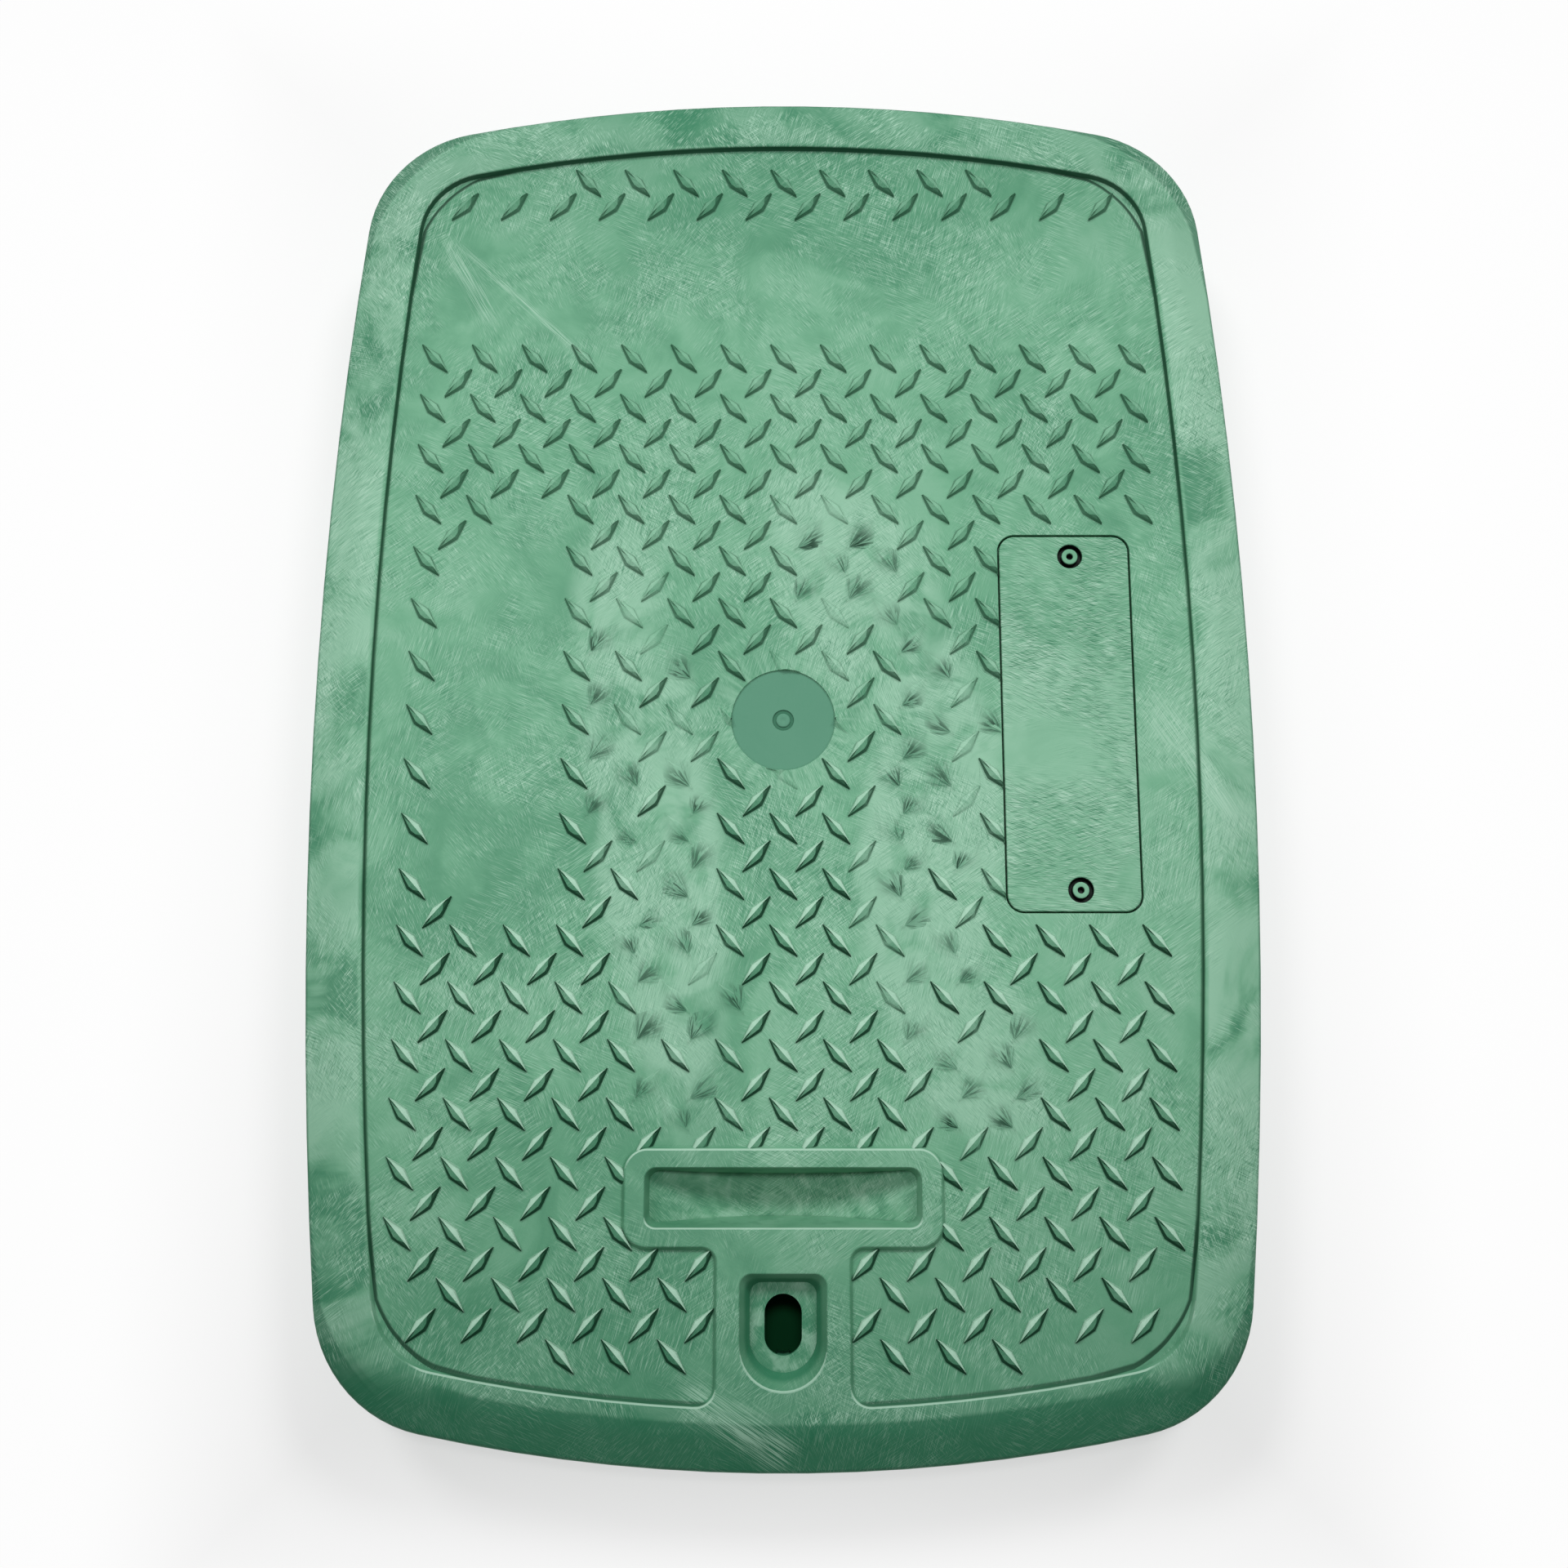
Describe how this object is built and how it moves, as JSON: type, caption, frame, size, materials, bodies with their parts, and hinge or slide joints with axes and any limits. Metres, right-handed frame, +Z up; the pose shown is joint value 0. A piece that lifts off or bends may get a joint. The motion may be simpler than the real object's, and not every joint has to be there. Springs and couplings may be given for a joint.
{
  "type": "valve box cover",
  "caption": "Green moulded plastic valve box cover with bowed sides, a bevelled rim, a raised tread, a pull slot, a bolt recess and an inset marker plate held by push pins.",
  "frame": {"origin": "on the floor under the middle of the cover, which stands on the lower edge of its skirt", "axes": "+Z up, out of the tread; +Y along the length, towards the far end, away from the pull slot and the bolt recess; +X to the side that holds the marker plate"},
  "size_m": [0.295, 0.44, 0.036],
  "materials": {
    "cover_plastic": "weathered green, scuffed and finely scratched",
    "plate_plastic": "weathered green, fine streaks",
    "pin_plastic": "green, smooth"
  },
  "bodies": {
    "root": {"cover": "cover_plastic", "marker_plate": "plate_plastic", "plate_pins": "pin_plastic"}
  },
  "joints": []
}
